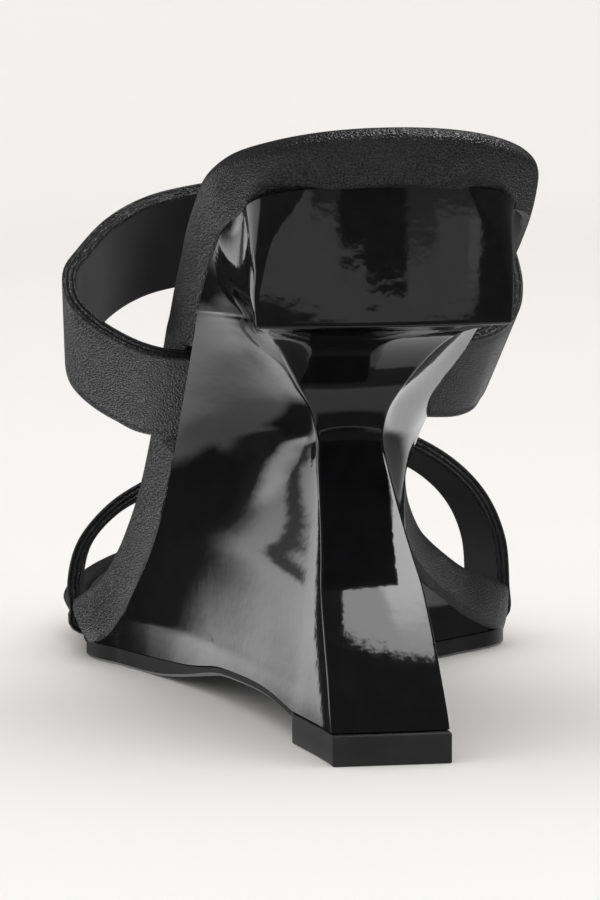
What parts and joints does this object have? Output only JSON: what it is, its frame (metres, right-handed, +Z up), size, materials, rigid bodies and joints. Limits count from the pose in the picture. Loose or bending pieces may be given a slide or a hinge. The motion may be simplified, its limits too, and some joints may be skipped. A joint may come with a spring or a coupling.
{
  "type": "wedge heel mule sandal",
  "caption": "Left high-heeled mule sandal with a broad instep strap, a toe strap and a sculpted lacquered wedge hollowed to a narrow column over a small heel lift.",
  "frame": {"origin": "centre of the heel lift's flat underside, on the floor", "axes": "+Y to the toe, +X to the inner side of the foot, +Z up"},
  "size_m": [0.0993, 0.218, 0.1116],
  "materials": {
    "lift_rubber": "matt black hard rubber",
    "sole_leather": "black sealed sole leather, satin",
    "lacquer": "mirror-gloss black lacquer",
    "rim_leather": "black fine-grained nappa, semi-matt",
    "sock_leather": "black smooth lining leather",
    "strap_leather": "black fine-grained nappa, semi-matt, folded edges"
  },
  "bodies": {
    "root": {"heel_lift": "lift_rubber", "outsole": "sole_leather", "wedge_heel": "lacquer", "footbed": "rim_leather", "insole_sock": "sock_leather", "instep_strap": "strap_leather", "toe_strap": "strap_leather"}
  },
  "joints": []
}
